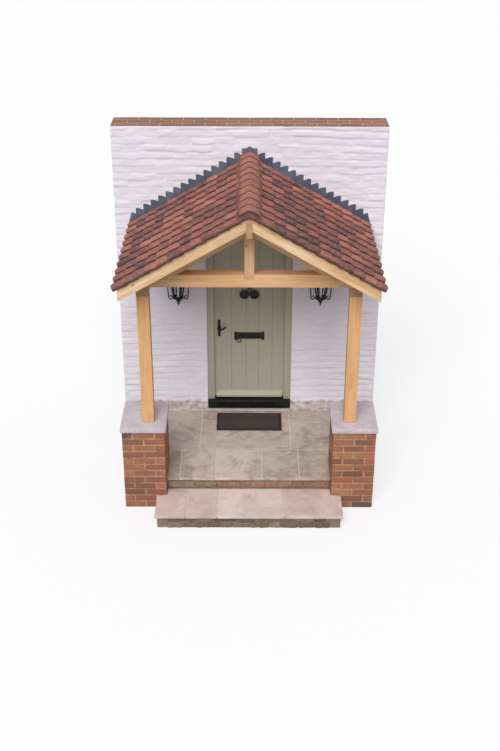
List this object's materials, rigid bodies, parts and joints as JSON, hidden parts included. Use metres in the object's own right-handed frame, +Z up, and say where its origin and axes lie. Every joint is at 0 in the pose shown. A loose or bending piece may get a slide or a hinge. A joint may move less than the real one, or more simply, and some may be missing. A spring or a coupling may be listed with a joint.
{
  "type": "entrance porch",
  "caption": "Gabled oak entrance porch with a rolled tile roof on brick piers, with its steps, hinged front door and bay of painted house wall.",
  "frame": {"origin": "centre of the footprint on the ground", "axes": "+Z up, +Y into the house, +X to the right seen from the street"},
  "size_m": [2.8, 2.238, 3.56],
  "materials": {
    "black_iron": "painted, satin",
    "black_threshold": "painted, satin",
    "cap_stone": "cast, matt",
    "clay_tile": "sanded, matt",
    "coir": "coarse pile",
    "flagstone": "worn, matt",
    "lantern_glass": "clear",
    "lead": "weathered, matt",
    "oak": "oiled, satin",
    "painted_brick": "limewashed, matt",
    "red_brick": "rough, matt",
    "rubble_stone": "rough",
    "sage_paint": "painted, eggshell",
    "softwood": "sawn",
    "step_stone": "sawn, worn"
  },
  "bodies": {
    "porch": {"doormat": "coir", "eaves_plates": "oak", "frame_head": "sage_paint", "jamb_hinges": "black_iron", "king_post": "oak", "landing_flags": "flagstone", "lantern_glass": "lantern_glass", "left_barge_board": "oak", "left_jamb": "sage_paint", "left_lantern": "black_iron", "left_pier": "red_brick", "left_post": "oak", "left_principal_rafter": "oak", "left_roof_boards": "softwood", "left_tiles": "clay_tile", "lower_step_slab": "step_stone", "pier_caps": "cap_stone", "purlins": "oak", "ridge_beam": "oak", "ridge_tiles": "clay_tile", "right_barge_board": "oak", "right_jamb": "sage_paint", "right_lantern": "black_iron", "right_pier": "red_brick", "right_post": "oak", "right_principal_rafter": "oak", "right_roof_boards": "softwood", "right_tiles": "clay_tile", "step_masonry": "rubble_stone", "stepped_flashing": "lead", "threshold": "black_threshold", "tie_beam": "oak", "tile_battens": "softwood", "wall_left": "painted_brick", "wall_over_door": "painted_brick", "wall_right": "painted_brick", "wall_under_door": "painted_brick"},
    "door": {"door_leaf": "sage_paint", "weather_bar": "sage_paint", "leaf_hinges": "black_iron", "handle_plates": "black_iron", "letter_plate": "black_iron", "knocker_plate": "black_iron"},
    "lever": {"door_lever": "black_iron"},
    "flap": {"letter_flap": "black_iron"},
    "knocker": {"knocker": "black_iron"}
  },
  "joints": [
    {"name": "door_hinge", "type": "hinge", "parent": "porch", "child": "door", "pos_m": [0.4045, 0.896, 1.4205], "axis": [0, 0, -1], "range_deg": [0, 90]},
    {"name": "lever_turn", "type": "hinge", "parent": "door", "child": "lever", "pos_m": [-0.332, 0.844, 1.292], "axis": [0, 1, 0], "range_deg": [0, 40], "stiffness_Nm_per_rad": 2},
    {"name": "letter_flap_swing", "type": "hinge", "parent": "door", "child": "flap", "pos_m": [0, 0.8473, 1.215], "axis": [1, 0, 0], "range_deg": [0, 65]},
    {"name": "knocker_swing", "type": "hinge", "parent": "door", "child": "knocker", "pos_m": [0, 0.817, 1.854], "axis": [-1, 0, 0], "range_deg": [0, 60]}
  ]
}
